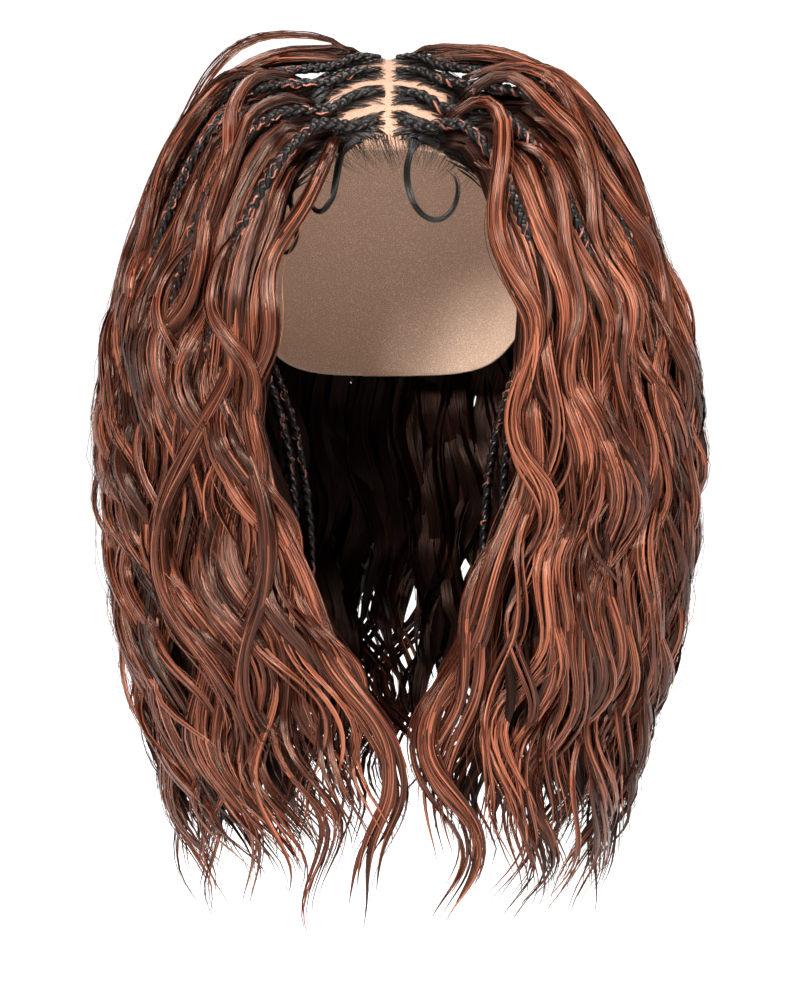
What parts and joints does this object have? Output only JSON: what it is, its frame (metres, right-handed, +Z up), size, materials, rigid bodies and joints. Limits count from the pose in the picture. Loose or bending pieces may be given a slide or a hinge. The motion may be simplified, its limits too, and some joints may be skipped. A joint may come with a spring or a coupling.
{
  "type": "wig",
  "caption": "Wig on an open cap, with a centre parting, thin plaited braids over long loose waves and gelled curls at the hairline.",
  "frame": {"origin": "inside of the cap at the crown, where the wig sits on a head", "axes": "+Z up, the face side looks along -Y, +X to the right as seen from the front"},
  "size_m": [0.2985, 0.2304, 0.4351],
  "materials": {
    "lace": "tan lace net",
    "braid_hair": "glossy black braided hair",
    "wave_hair": "glossy copper brown waved hair",
    "edge_hair": "gelled black hair"
  },
  "bodies": {
    "root": {"lace_cap": "lace", "waves_left": "wave_hair", "waves_right": "wave_hair", "waves_back": "wave_hair", "braid_left_1": "braid_hair", "braid_left_2": "braid_hair", "braid_left_3": "braid_hair", "braid_left_4": "braid_hair", "braid_left_5": "braid_hair", "braid_right_1": "braid_hair", "braid_right_2": "braid_hair", "braid_right_3": "braid_hair", "braid_right_4": "braid_hair", "braid_right_5": "braid_hair", "neck_braid_left_1": "braid_hair", "neck_braid_left_2": "braid_hair", "neck_braid_right_1": "braid_hair", "neck_braid_right_2": "braid_hair", "edge_curl_right": "edge_hair", "edge_curl_left_1": "edge_hair", "edge_curl_left_2": "edge_hair"}
  },
  "joints": []
}
